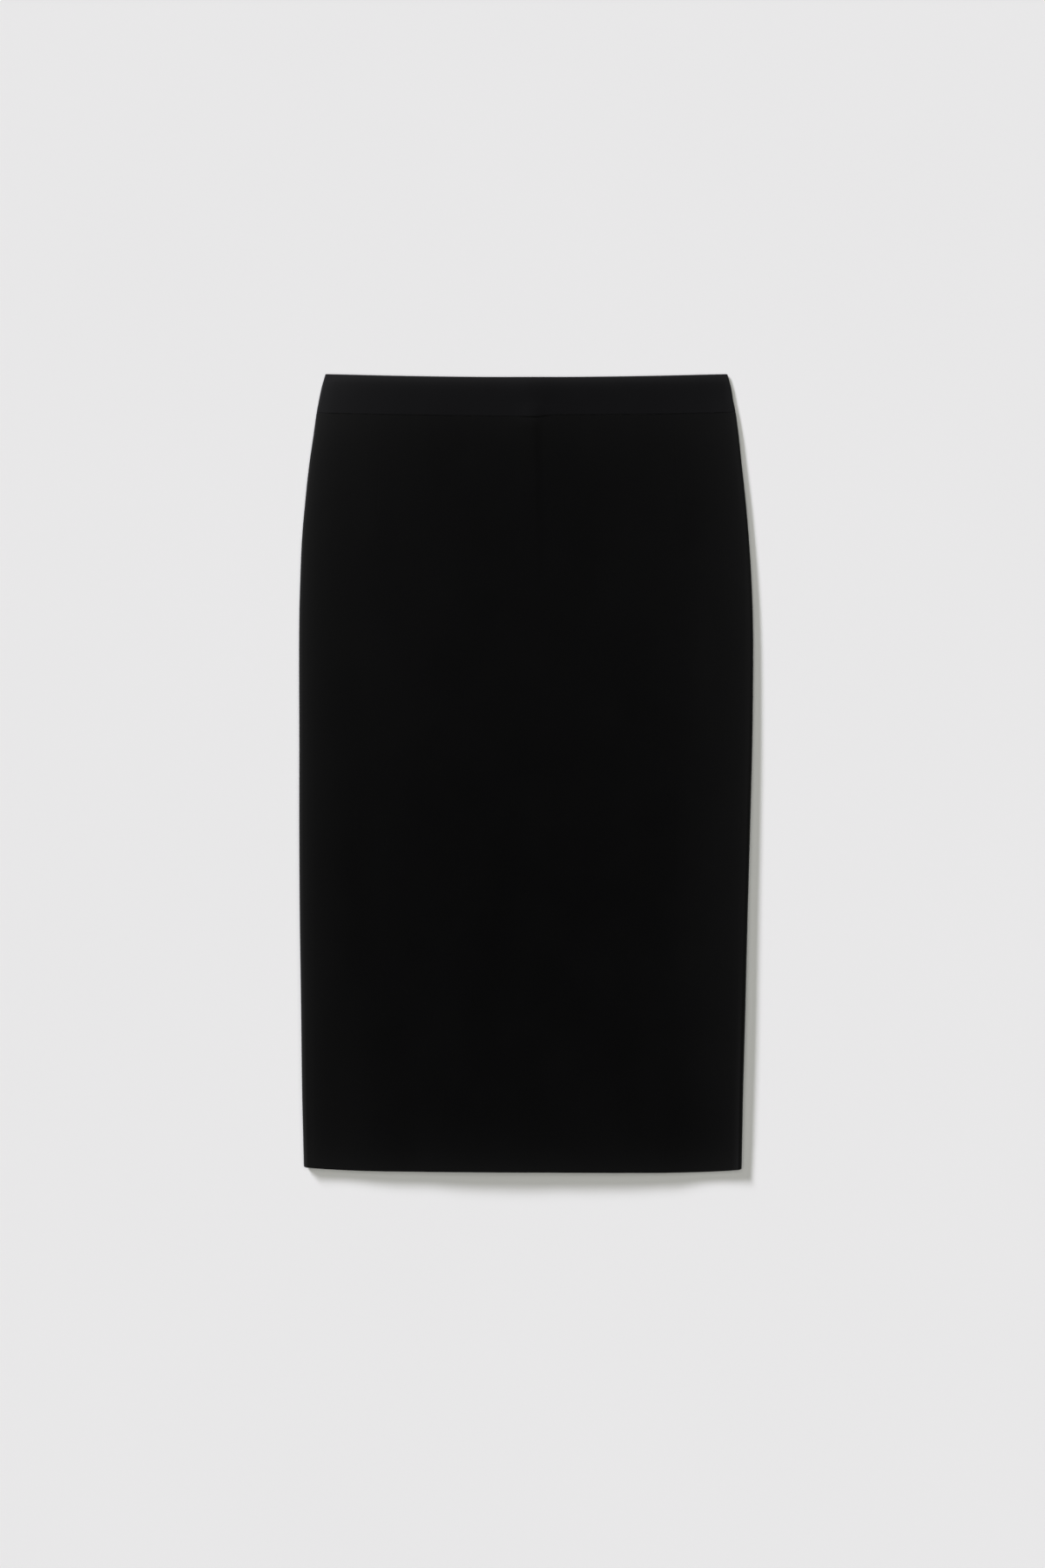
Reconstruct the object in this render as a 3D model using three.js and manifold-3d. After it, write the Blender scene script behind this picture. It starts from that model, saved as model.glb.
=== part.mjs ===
// A black crepe pencil skirt, fastened and laid flat on its back.
// Millimetres. +Y runs to the waist, +X to the right of the picture, +Z is up, and the underside rests on z = 0.
// The front lies on top, so the wearer's left is on the +X side.

import * as THREE from 'three';
import Module from 'manifold-3d';
import { mergeVertices } from 'three/addons/utils/BufferGeometryUtils.js';

const wasm = await Module();
wasm.setup();

// Driving sizes

const LENGTH = 749; // waist to hem, along a side seam
const HALF_LENGTH = 376.84; // from the middle of the whole skirt to the waist's corners
const SEAM_GAP = 0.3; // between two pieces that are sewn together
const CLOTH = 1.2; // wall of a panel
const BAND_CLOTH = 1.4; // wall of the waistband, which is folded over a stiffener
const BAND_HEIGHT = 37;
const DART_LENGTH = 82;

const TURN_UP = 34; // height of the hem that is turned up inside
const TURN_UP_EDGE = 3; // the length over which the wall steps from one layer of cloth to two

const VENT_LENGTH = 198;
const VENT_RAMP = 8; // above the vent, where the underlap leaves the seam
const UNDERLAP = 45; // width of the underlap, past the centre-back seam
const UNDERLAP_SLOPE = 0.42; // fall of its top edge for each millimetre across
const UNDERLAP_RISE = 14; // width over which the cloth climbs onto the other side's edge

const TAPE_TOP = 3; // from the waist's edge to the zip's tape
const ZIP_END = 217;
const TAPE_WIDTH = 10; // one side
const TAPE = 0.5;
const COIL_WIDTH = 2.2; // one side
const COIL = 1.0; // height of the coil above its tape

const SLIDER = { down: 8.5, length: 8, width: 5.2, thick: 1.0, gap: 0.3 };
const BRIDGE = { length: 4.2, width: 1.4, bar: 0.4, leg: 0.8, bottom: 0.15, window: 1.2 };
const PULL = { length: 18, root: 3.8, tip: 5, thick: 0.6, eye: 2.2, eyeLength: 2.4, rim: 0.6 };
const PULL_ROOM = 0.45; // between the pull and the folded edges of the band beside it

const RIM_STEPS = 4; // facets of a quarter of the rounded side

// Outline: how far each side stands from the middle, at each distance down from the waist's corners

const OUTLINE = [
  { down: 0, left: 189.8, right: 190.3 },
  { down: 13, left: 193.5, right: 193.8 },
  { down: 26, left: 196.2, right: 195.9 },
  { down: 37, left: 198.2, right: 198.1 },
  { down: 58, left: 201.1, right: 200.9 },
  { down: 79, left: 204.2, right: 203.1 },
  { down: 100, left: 206.8, right: 205.4 },
  { down: 120, left: 208.8, right: 207.5 },
  { down: 141, left: 210.8, right: 209.4 },
  { down: 161, left: 212.2, right: 210.9 },
  { down: 182, left: 213.1, right: 212.3 },
  { down: 223, left: 214.3, right: 214.1 },
  { down: 264, left: 214.6, right: 214.6 },
  { down: 346, left: 214.4, right: 213.7 },
  { down: 429, left: 214.4, right: 211.6 },
  { down: 511, left: 213.9, right: 209.2 },
  { down: 593, left: 212.7, right: 207.2 },
  { down: 675, left: 211.7, right: 205.0 },
  { down: 716, left: 210.8, right: 204.2 },
  { down: LENGTH, left: 210.0, right: 203.5 },
];

// Form of the section at each distance down:
// tilt    how far the right end of the row lies below its left end
// sag     how far the middle of the row lies below its ends
// rim     height of the rounded side
// middle  height of the front's face in the middle
// spread  width over which the side's height passes into the middle's
// seam    place of the centre-back seam

const FORM = [
  { down: 0, tilt: 0, sag: 3.0, rim: 3.4, middle: 4.1, spread: 30, seam: 6.0 },
  { down: 37, tilt: -0.6, sag: 2.8, rim: 4.1, middle: 4.2, spread: 40, seam: 6.4 },
  { down: 60, tilt: -0.3, sag: 2.7, rim: 5.0, middle: 4.4, spread: 45, seam: 7.0 },
  { down: 141, tilt: 0, sag: 2.4, rim: 6.0, middle: 4.4, spread: 50, seam: 8.9 },
  { down: 305, tilt: 0.6, sag: 2.0, rim: 7.7, middle: 4.5, spread: 60, seam: 10.5 },
  { down: 470, tilt: 1.1, sag: 2.1, rim: 9.2, middle: 4.6, spread: 70, seam: 11.0 },
  { down: 570, tilt: 1.5, sag: 2.4, rim: 9.9, middle: 5.0, spread: 80, seam: 11.3 },
  { down: 640, tilt: 1.8, sag: 2.8, rim: 10.1, middle: 6.2, spread: 110, seam: 11.6 },
  { down: 700, tilt: 2.0, sag: 3.2, rim: 9.7, middle: 8.9, spread: 160, seam: 11.8 },
  { down: LENGTH, tilt: 2.2, sag: 3.5, rim: 8.8, middle: 12.0, spread: 205, seam: 12.0 },
];

// Soft ridges and troughs of the front, each a line with a height, a half width and a length over which its ends fade

const FOLDS = [
  { name: 'over the zip', x: 6.0, down: 0, toX: 10.0, toDown: 195, height: 0.8, width: 8, fade: 40 },
  { name: 'over the slider', x: 6.0, down: 4, toX: 6.1, toDown: 14, height: 0.5, width: 12, fade: 10 },
  { name: 'left of the hem', x: -176, down: 650, toX: -180, toDown: 760, height: -1.2, width: 24, fade: 70 },
  { name: 'right of the hem', x: 160, down: 630, toX: 168, toDown: 760, height: -1.8, width: 30, fade: 80 },
];

// Numbers

const mix = (a, b, share) => a + (b - a) * share;
const clamp = (value) => Math.min(1, Math.max(0, value));

function smooth(value) {
  const t = clamp(value);
  return t * t * (3 - 2 * t);
}

// Evenly spaced values through a list of stops, each [place, steps to reach it]
function spaced(start, stops) {
  const values = [start];
  for (const [place, steps] of stops) {
    const from = values[values.length - 1];
    for (let k = 1; k <= steps; k += 1) {
      values.push(mix(from, place, k / steps));
    }
  }
  return values;
}

// A column of a table at any distance down, on a smooth curve through its rows
function along(table, column, down) {
  const last = table.length - 2;
  const after = table.findIndex((row) => row.down > down);
  const i = after < 0 ? last : Math.max(0, after - 1);
  const [a, b] = [table[i], table[i + 1]];
  const before = table[Math.max(0, i - 1)];
  const next = table[Math.min(last + 1, i + 2)];
  const span = b.down - a.down;
  const t = clamp((down - a.down) / span);
  const leaving = ((b[column] - before[column]) / (b.down - before.down)) * span;
  const arriving = ((next[column] - a[column]) / (next.down - a.down)) * span;
  const rise = smooth(t);
  return mix(a[column], b[column], rise) + t * (1 - t) * ((1 - t) * leaving - t * arriving);
}

function station(down) {
  const row = {};
  for (const column of ['left', 'right']) {
    row[column] = along(OUTLINE, column, down);
  }
  for (const column of ['tilt', 'sag', 'rim', 'middle', 'spread', 'seam']) {
    row[column] = along(FORM, column, down);
  }
  row.round = 1.4 + 0.35 * row.rim; // how far in the side's rounding reaches
  return row;
}

// The skirt's form

function place(x, z, down) {
  const { left, right, tilt, sag } = station(down);
  const u = x / (x < 0 ? left : right);
  const y = HALF_LENGTH - down - (tilt * (u + 1)) / 2 - sag * (1 - u * u);
  return [x, y, z];
}

function foldHeight(fold, x, down) {
  const share = (down - fold.down) / (fold.toDown - fold.down);
  const across = (x - mix(fold.x, fold.toX, clamp(share))) / fold.width;
  const outside = Math.max(fold.down - down, down - fold.toDown, 0);
  return fold.height * Math.exp(-across * across) * (1 - smooth(outside / fold.fade));
}

// Height of the front's outer face
function frontHeight(x, down) {
  const { left, right, rim, middle, spread, round } = station(down);
  const fromSide = x < 0 ? left + x : right - x;
  let height = mix(rim, middle, smooth((fromSide - round) / spread));
  for (const fold of FOLDS) {
    height += foldHeight(fold, x, down);
  }
  return height;
}

// A panel's wall: one layer of cloth, and two where the hem is turned up
function panelWall(down) {
  return CLOTH * (1 + clamp((down - (LENGTH - TURN_UP - TURN_UP_EDGE)) / TURN_UP_EDGE));
}

// Lift of the back's outer face where the underlap climbs onto the other side's edge
function underlapLift(x, down) {
  const start = LENGTH - VENT_LENGTH;
  const climb = smooth(1 + (x - station(down).seam) / UNDERLAP_RISE);
  return down < start ? 0 : (panelWall(down) + SEAM_GAP) * climb;
}

const FRONT = { side: 1, height: (x, down, depth) => frontHeight(x, down) - depth };
const BACK = { side: -1, height: (x, down, depth) => depth };
const BACK_WITH_UNDERLAP = { side: -1, height: (x, down, depth) => underlapLift(x, down) + depth };

// Columns: each gives a point of a layer at a distance down and a depth into its wall

function rimColumn(side, angle) {
  return (layer, down, depth) => {
    const { left, right, rim, round } = station(down);
    const reach = (side < 0 ? left : right) - round;
    const tall = (rim - SEAM_GAP) / 2 - depth;
    const x = side * (reach + (round - depth) * Math.cos(angle));
    return place(x, rim / 2 + layer.side * (SEAM_GAP / 2 + tall * Math.sin(angle)), down);
  };
}

function rimColumns(side) {
  const columns = [];
  for (let k = 0; k < RIM_STEPS; k += 1) {
    columns.push(rimColumn(side, (k / RIM_STEPS) * (Math.PI / 2)));
  }
  return side < 0 ? columns : columns.reverse();
}

function flatColumn(findX) {
  return (layer, down, depth) => {
    const x = findX(station(down), down);
    return place(x, layer.height(x, down, depth), down);
  };
}

const leftEdge = (row) => row.round - row.left;
const rightEdge = (row) => row.right - row.round;

// Columns from one place across to another, without the last
function flatColumns(from, to, steps) {
  const columns = [];
  for (let k = 0; k < steps; k += 1) {
    columns.push(flatColumn((row, down) => mix(from(row, down), to(row, down), k / steps)));
  }
  return columns;
}

// Closed wall between an upper and a lower sheet of points, over the cells that are kept
function wall(rows, columns, upper, lower, kept = () => true) {
  const positions = [];
  const faces = [];
  const quad = (a, b, c, d) => faces.push(a, b, c, a, c, d);
  const top = (i, j) => 2 * (i * columns + j);
  const under = (i, j) => top(i, j) + 1;
  const full = (i, j) => i >= 0 && j >= 0 && i < rows - 1 && j < columns - 1 && kept(i, j);
  for (let i = 0; i < rows; i += 1) {
    for (let j = 0; j < columns; j += 1) {
      positions.push(...upper(i, j), ...lower(i, j));
    }
  }
  const edge = (a, b) => quad(top(...a), under(...a), under(...b), top(...b));
  for (let i = 0; i < rows - 1; i += 1) {
    for (let j = 0; j < columns - 1; j += 1) {
      if (!full(i, j)) {
        continue;
      }
      const [a, b, c, d] = [[i, j], [i + 1, j], [i + 1, j + 1], [i, j + 1]];
      quad(top(...a), top(...b), top(...c), top(...d));
      quad(under(...d), under(...c), under(...b), under(...a));
      if (!full(i, j - 1)) edge(a, b);
      if (!full(i + 1, j)) edge(b, c);
      if (!full(i, j + 1)) edge(c, d);
      if (!full(i - 1, j)) edge(d, a);
    }
  }
  const geometry = new THREE.BufferGeometry();
  geometry.setAttribute('position', new THREE.Float32BufferAttribute(positions, 3));
  geometry.setIndex(faces);
  return usedOnly(geometry);
}

// The same geometry without the points that no face uses
function usedOnly(geometry) {
  const plain = geometry.toNonIndexed();
  return mergeVertices(plain, 1e-5);
}

// A piece of the skirt: a layer's wall over rows of distances down, its face and its inside
function clothWall(layer, rows, columns, depthAt, kept, downAt = (i) => rows[i]) {
  const point = (i, j, depth) => columns[j](layer, downAt(i, j), depth);
  const face = (i, j) => point(i, j, 0);
  const inside = (i, j) => point(i, j, depthAt(rows[i]));
  const [upper, lower] = layer.side > 0 ? [face, inside] : [inside, face];
  return wall(rows.length, columns.length, upper, lower, kept);
}

const crepe = new THREE.MeshStandardMaterial({ color: 0x121214, roughness: 0.92, metalness: 0 });
const tapeWeave = new THREE.MeshStandardMaterial({ color: 0x0e0e10, roughness: 0.8, metalness: 0 });
const blackEnamel = new THREE.MeshStandardMaterial({ color: 0x0b0b0c, roughness: 0.35, metalness: 0.6 });

const skirt = new THREE.Group();

function add(name, geometry, material) {
  geometry.computeVertexNormals();
  const mesh = new THREE.Mesh(geometry, material.clone());
  mesh.name = name;
  skirt.add(mesh);
  return mesh;
}

// Panels

const VENT_TOP = LENGTH - VENT_LENGTH;

const PANEL_ROWS = spaced(BAND_HEIGHT + SEAM_GAP / 2, [
  [BAND_HEIGHT + DART_LENGTH, 3],
  [VENT_TOP - VENT_RAMP, 8],
  [VENT_TOP, 1],
  [LENGTH - TURN_UP - TURN_UP_EDGE, 5],
  [LENGTH - TURN_UP, 1],
  [LENGTH, 3],
]);

const RIDGE_ROOM = 18; // on each side of the centre-back seam, where the front has closer columns

const FRONT_COLUMNS = [
  ...rimColumns(-1),
  ...flatColumns(leftEdge, (row) => row.seam - RIDGE_ROOM, 7),
  ...flatColumns((row) => row.seam - RIDGE_ROOM, (row) => row.seam + RIDGE_ROOM, 4),
  ...flatColumns((row) => row.seam + RIDGE_ROOM, rightEdge, 7),
  flatColumn(rightEdge),
  ...rimColumns(1),
];

function frontPanel() {
  add('front_panel', clothWall(FRONT, PANEL_ROWS, FRONT_COLUMNS, panelWall), crepe);
}

function backPanelLeft() {
  const columns = [
    ...flatColumns((row) => row.seam + SEAM_GAP / 2, rightEdge, 8),
    flatColumn(rightEdge),
    ...rimColumns(1),
  ];
  add('back_panel_left', clothWall(BACK, PANEL_ROWS, columns, panelWall), crepe);
}

const seamEdge = (row) => row.seam - SEAM_GAP / 2;
const riseEdge = (row) => row.seam - UNDERLAP_RISE; // where the cloth starts to climb, below the vent's top

function backPanelRight() {
  const columns = [...rimColumns(-1), ...flatColumns(leftEdge, riseEdge, 7)];
  const riseColumn = columns.length;
  columns.push(...flatColumns(riseEdge, seamEdge, 3), flatColumn(seamEdge));
  const ventRow = PANEL_ROWS.indexOf(VENT_TOP);
  const kept = (i, j) => j < riseColumn || i < ventRow;
  const geometry = clothWall(BACK_WITH_UNDERLAP, PANEL_ROWS, columns, panelWall, kept);
  add('back_panel_right', geometry, crepe);
}

// The underlap climbs from the right back panel onto the left one's edge, and its top slopes down across
function ventUnderlap() {
  const widths = [8, 26, UNDERLAP];
  const rows = PANEL_ROWS.filter((down) => down >= VENT_TOP);
  rows[0] += SEAM_GAP;
  const columns = [
    ...flatColumns((row) => riseEdge(row) + SEAM_GAP, seamEdge, 3),
    flatColumn(seamEdge),
  ];
  const seamColumn = columns.length - 1;
  for (const width of widths) {
    columns.push(flatColumn((row) => row.seam + width));
  }
  const slopedTop = (i, j) => {
    const past = j > seamColumn ? widths[j - seamColumn - 1] : 0;
    return rows[i] + (i === 0 ? past * UNDERLAP_SLOPE : 0);
  };
  const geometry = clothWall(BACK_WITH_UNDERLAP, rows, columns, panelWall, () => true, slopedTop);
  add('vent_underlap', geometry, crepe);
}

// Waistband

const BAND_END = BAND_HEIGHT - SEAM_GAP / 2;

function waistbandFront() {
  const rows = spaced(0, [[SLIDER.down + 8, 3], [BAND_END, 2]]);
  add('waistband_front', clothWall(FRONT, rows, FRONT_COLUMNS, () => BAND_CLOTH), crepe);
}

// The band's ends meet over the zip and part round its pull
const PARTING = {
  top: SLIDER.down - 5,
  bottom: SLIDER.down + PULL.length + 2,
  ease: 2.5,
  half: PULL.tip / 2 + PULL_ROOM,
};

function bandEnd(down) {
  const opening = smooth((down - PARTING.top) / PARTING.ease);
  const closing = smooth((PARTING.bottom - down) / PARTING.ease);
  return mix(SEAM_GAP / 2, PARTING.half, opening * closing);
}

const BAND_BACK_ROWS = spaced(0, [
  [PARTING.top, 1],
  [PARTING.top + PARTING.ease, 2],
  [PARTING.bottom - PARTING.ease, 2],
  [PARTING.bottom, 2],
  [BAND_END, 1],
]);

function waistbandBackLeft() {
  const end = (row, down) => row.seam + bandEnd(down);
  const columns = [...flatColumns(end, rightEdge, 7), flatColumn(rightEdge), ...rimColumns(1)];
  add('waistband_back_left', clothWall(BACK, BAND_BACK_ROWS, columns, () => BAND_CLOTH), crepe);
}

function waistbandBackRight() {
  const end = (row, down) => row.seam - bandEnd(down);
  const columns = [...rimColumns(-1), ...flatColumns(leftEdge, end, 7), flatColumn(end)];
  add('waistband_back_right', clothWall(BACK, BAND_BACK_ROWS, columns, () => BAND_CLOTH), crepe);
}

// Zip: two tapes, each with its half of the coil, inside along the centre-back seam

const BRIDGE_SLOT = BRIDGE.length / 2 + SEAM_GAP; // half the length of the slot that the bridge passes
const SLOT_HALF = BRIDGE.width / 2 + 0.4;
const COIL_TOP = SLIDER.down + SLIDER.length / 2 + SEAM_GAP;
const COIL_STEP = 0.4;

const TAPE_ROWS = spaced(TAPE_TOP, [
  [SLIDER.down - BRIDGE_SLOT - 0.6, 1],
  [SLIDER.down - BRIDGE_SLOT, 1],
  [SLIDER.down + BRIDGE_SLOT, 1],
  [SLIDER.down + BRIDGE_SLOT + 0.6, 1],
  [COIL_TOP, 1],
  [COIL_TOP + COIL_STEP, 1],
  [BAND_HEIGHT + 1, 2],
  [BAND_HEIGHT + 8, 1],
  [ZIP_END - 3, 6],
  [ZIP_END - 3 + COIL_STEP, 1],
  [ZIP_END, 1],
]);

function tapeBottom(down) {
  return SEAM_GAP + mix(BAND_CLOTH, CLOTH, clamp((down - BAND_HEIGHT - 1) / 7));
}

function zipTape(name, side) {
  const offsets = (down) => {
    const atBridge = Math.abs(down - SLIDER.down) <= BRIDGE_SLOT + 1e-6;
    return [atBridge ? SLOT_HALF : SEAM_GAP / 2, COIL_WIDTH, COIL_WIDTH + 0.3, TAPE_WIDTH];
  };
  const hasCoil = (down) => down > COIL_TOP + COIL_STEP / 2 && down < ZIP_END - 2.8;
  const point = (i, j, height) => {
    const down = TAPE_ROWS[i];
    const column = side < 0 ? 3 - j : j;
    const x = station(down).seam + side * offsets(down)[column];
    const coil = column < 2 && hasCoil(down) ? COIL : 0;
    return place(x, tapeBottom(down) + (height ? TAPE + coil : 0), down);
  };
  const upper = (i, j) => point(i, j, true);
  const lower = (i, j) => point(i, j, false);
  add(name, wall(TAPE_ROWS.length, 4, upper, lower), tapeWeave);
}

// Where the slider and its pull are: the pull turns about the bar at its root
const sliderRow = station(SLIDER.down);
const [sliderX, sliderY] = place(sliderRow.seam, 0, SLIDER.down);
const PULL_AXIS_Z = BRIDGE.bottom + BRIDGE.bar + BRIDGE.window / 2;

function solid(geometry) {
  geometry.deleteAttribute('normal');
  geometry.deleteAttribute('uv');
  const merged = mergeVertices(geometry, 1e-5);
  return new wasm.Manifold(new wasm.Mesh({
    numProp: 3,
    vertProperties: new Float32Array(merged.attributes.position.array),
    triVerts: new Uint32Array(merged.index.array),
  }));
}

function geometryOf(manifold) {
  const mesh = manifold.getMesh();
  const geometry = new THREE.BufferGeometry();
  geometry.setAttribute('position', new THREE.Float32BufferAttribute(mesh.vertProperties, 3));
  geometry.setIndex(Array.from(mesh.triVerts));
  return geometry;
}

function roundedRectangle(width, length, radius) {
  const [w, l] = [width / 2, length / 2];
  const shape = new THREE.Shape();
  shape.absarc(w - radius, l - radius, radius, 0, Math.PI / 2);
  shape.absarc(radius - w, l - radius, radius, Math.PI / 2, Math.PI);
  shape.absarc(radius - w, radius - l, radius, Math.PI, 1.5 * Math.PI);
  shape.absarc(w - radius, radius - l, radius, 1.5 * Math.PI, 2 * Math.PI);
  return shape;
}

// The slider's body lies on the coil side of the tapes. Its bridge reaches through to the outside and holds the pull.
function zipSlider() {
  const bodyBottom = tapeBottom(SLIDER.down) + TAPE + SLIDER.gap;
  const body = new THREE.ExtrudeGeometry(roundedRectangle(SLIDER.width, SLIDER.length, 1.4), {
    depth: SLIDER.thick,
    bevelEnabled: false,
    curveSegments: 3,
  });
  body.translate(0, 0, bodyBottom);

  const half = BRIDGE.length / 2;
  const windowHalf = half - BRIDGE.leg;
  const windowBottom = BRIDGE.bottom + BRIDGE.bar;
  const side = new THREE.Shape();
  side.moveTo(-half, bodyBottom + SLIDER.thick / 2);
  side.lineTo(-half, BRIDGE.bottom);
  side.lineTo(half, BRIDGE.bottom);
  side.lineTo(half, bodyBottom + SLIDER.thick / 2);
  side.closePath();
  const window = new THREE.Path();
  window.moveTo(-windowHalf, windowBottom);
  window.lineTo(-windowHalf, windowBottom + BRIDGE.window);
  window.lineTo(windowHalf, windowBottom + BRIDGE.window);
  window.lineTo(windowHalf, windowBottom);
  window.closePath();
  side.holes.push(window);
  const bridge = new THREE.ExtrudeGeometry(side, { depth: BRIDGE.width, bevelEnabled: false });
  bridge.translate(0, 0, -BRIDGE.width / 2);
  bridge.rotateX(Math.PI / 2);
  bridge.rotateZ(Math.PI / 2);

  const mesh = add('zip_slider', geometryOf(solid(body).add(solid(bridge))), blackEnamel);
  mesh.position.set(sliderX, sliderY, 0);
}

// A flat drop with an eye round the bridge. The pull turns about the bar above its eye.
function zipPull() {
  const tip = PULL.tip / 2;
  const root = PULL.root / 2;
  const shape = new THREE.Shape();
  shape.moveTo(root, PULL.rim / 2);
  shape.lineTo(-root, PULL.rim / 2);
  shape.lineTo(-root, -PULL.eyeLength - PULL.rim);
  shape.lineTo(-tip, tip - PULL.length);
  shape.absarc(0, tip - PULL.length, tip, Math.PI, 2 * Math.PI);
  shape.lineTo(root, -PULL.eyeLength - PULL.rim);
  shape.closePath();
  const eye = new THREE.Path();
  const eyeTop = -PULL.rim / 2;
  eye.moveTo(-PULL.eye / 2, eyeTop);
  eye.lineTo(PULL.eye / 2, eyeTop);
  eye.lineTo(PULL.eye / 2, eyeTop - PULL.eyeLength);
  eye.lineTo(-PULL.eye / 2, eyeTop - PULL.eyeLength);
  eye.closePath();
  shape.holes.push(eye);
  const geometry = new THREE.ExtrudeGeometry(shape, {
    depth: PULL.thick,
    bevelEnabled: false,
    curveSegments: 8,
  });
  geometry.translate(0, 0, -PULL.thick / 2);
  const mesh = add('zip_pull', geometry, blackEnamel);
  mesh.position.set(sliderX, sliderY, PULL_AXIS_Z);
}

frontPanel();
backPanelLeft();
backPanelRight();
ventUnderlap();
waistbandFront();
waistbandBackLeft();
waistbandBackRight();
zipTape('zip_tape_left', 1);
zipTape('zip_tape_right', -1);
zipSlider();
zipPull();

export default skirt;
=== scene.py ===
# %% [markdown]
# A black crepe pencil skirt, laid flat
#
# The skirt is fastened and lies on its back, seen from straight above. It is a flattened tube of cloth: a
# front panel, two back panels with a seam, a concealed zip and a vent between them, and a straight
# waistband.
#
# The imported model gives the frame: where every piece is, and how the zip's pull moves. This lesson makes
# the cloth on top of it. Each plain panel is replaced with a fine shell that has the same form, a rolled
# edge at every seam and a hem that is really folded, because those edges are what the eye reads as cloth.

# %% Frame
import math

import bpy
import mathutils
import numpy as np
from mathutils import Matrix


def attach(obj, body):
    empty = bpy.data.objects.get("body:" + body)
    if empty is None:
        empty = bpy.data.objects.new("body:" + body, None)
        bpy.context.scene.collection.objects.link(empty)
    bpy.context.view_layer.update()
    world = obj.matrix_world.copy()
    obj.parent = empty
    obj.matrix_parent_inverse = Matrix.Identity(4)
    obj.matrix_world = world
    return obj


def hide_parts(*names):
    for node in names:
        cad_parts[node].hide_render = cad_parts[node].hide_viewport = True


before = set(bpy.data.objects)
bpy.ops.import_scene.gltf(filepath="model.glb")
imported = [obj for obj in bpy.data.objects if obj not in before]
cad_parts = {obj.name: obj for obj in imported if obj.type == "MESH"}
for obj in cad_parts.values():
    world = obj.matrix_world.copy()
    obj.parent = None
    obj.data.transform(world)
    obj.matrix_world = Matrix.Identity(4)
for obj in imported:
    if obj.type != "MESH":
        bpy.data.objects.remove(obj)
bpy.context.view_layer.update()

# %% [markdown]
# Sizes
#
# A cutter thinks in millimetres down from the waist and out from the middle, so the form is kept that
# way. One table holds the outline, and the next the shape of the section, and a smooth curve runs through
# their rows. A third lists the large soft folds of the front.

# %% Sizes of the skirt, in millimetres
MM = 0.001

LENGTH = 749  # waist to hem, along a side seam
HALF_LENGTH = 376.84  # from the middle of the whole skirt to the waist's corners
LAYER_CLEARANCE = 0.3  # between two pieces that lie on each other
SEAM_GAP = 0.04  # between two pieces that are sewn together
PANEL_WALL = 1.2
BAND_WALL = 1.4
BAND_HEIGHT = 37
TURN_UP = 34  # height of the hem that is turned up inside
LAYER_GAP = 0.1  # between the two layers of a fold
SEAM_ROLL = 0.4  # radius with which cloth turns in at a seam
SIDE_ROUND = 1.4  # width of a rounded side
SIDE_ROUND_SHARE = 0.35  # and the share of its height that is added

VENT_TOP = LENGTH - 198
UNDERLAP = 45  # width of the cloth behind the vent
UNDERLAP_RISE = 14  # width over which it climbs onto the other side's edge
HEM_STEP = 3  # length over which it climbs onto the turned-up layer

DART_LENGTH = 82
DARTS = [
    {"top": -137.5, "tip": -140.8},
    {"top": 139.5, "tip": 142.7},
]

OUTLINE = {
    "down": [0, 13, 26, 37, 58, 79, 100, 120, 141, 161, 182, 223, 264, 346, 429, 511, 593, 675, 716, LENGTH],
    "left": [189.8, 193.5, 196.2, 198.2, 201.1, 204.2, 206.8, 208.8, 210.8, 212.2,
             213.1, 214.3, 214.6, 214.4, 214.4, 213.9, 212.7, 211.7, 210.8, 210.0],
    "right": [190.3, 193.8, 195.9, 198.1, 200.9, 203.1, 205.4, 207.5, 209.4, 210.9,
              212.3, 214.1, 214.6, 213.7, 211.6, 209.2, 207.2, 205.0, 204.2, 203.5],
}

# tilt, the fall from a row's left end to its right; sag, the fall to its middle; arch, how close to the
# sides that fall happens; rim, the height of the rounded side; middle, the height of the front's face;
# spread, the width between the two; seam, the centre-back seam
FORM = {
    "down": [0, 37, 60, 141, 305, 470, 570, 640, 700, LENGTH],
    "tilt": [0, -0.6, -0.3, 0, 0.6, 1.1, 1.5, 1.8, 2.0, 2.2],
    "sag": [3.0, 2.8, 2.7, 2.4, 2.0, 2.1, 2.4, 2.8, 3.2, 3.5],
    "arch": [2, 2, 2, 2, 2.2, 2.6, 3.2, 4.2, 5.4, 6.5],
    "rim": [3.4, 4.1, 5.0, 6.0, 7.7, 9.2, 9.9, 10.1, 9.7, 8.8],
    "middle": [4.1, 4.2, 4.4, 4.4, 4.5, 4.6, 5.0, 6.2, 8.9, 12.0],
    "spread": [30, 40, 45, 50, 60, 70, 80, 110, 160, 205],
    "seam": [6.0, 6.4, 7.0, 8.9, 10.5, 11.0, 11.3, 11.6, 11.8, 12.0],
}

# Soft ridges and troughs of the front, each along a line
FOLDS = [
    {"name": "over the zip", "x": 6.2, "down": 44, "to_x": 9.6, "to_down": 190,
     "height": 0.92, "to_height": 0.13, "width": 5.4, "left_width": 18, "fade": 8},
    {"name": "over the zip in the band", "x": 6.0, "down": 0, "to_x": 6.4, "to_down": 37,
     "height": 0.6, "width": 22, "fade": 20},
    {"name": "over the slider", "x": 6.0, "down": 4, "to_x": 6.1, "to_down": 14,
     "height": 0.4, "width": 22, "fade": 12},
    {"name": "left of the hem", "x": -176, "down": 650, "to_x": -180, "to_down": 760,
     "height": -1.2, "width": 24, "fade": 70},
    {"name": "right of the hem", "x": 160, "down": 630, "to_x": 168, "to_down": 760,
     "height": -1.8, "width": 30, "fade": 80},
]
print("length", LENGTH, "mm, widest", OUTLINE["left"][12] + OUTLINE["right"][12], "mm")


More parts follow.
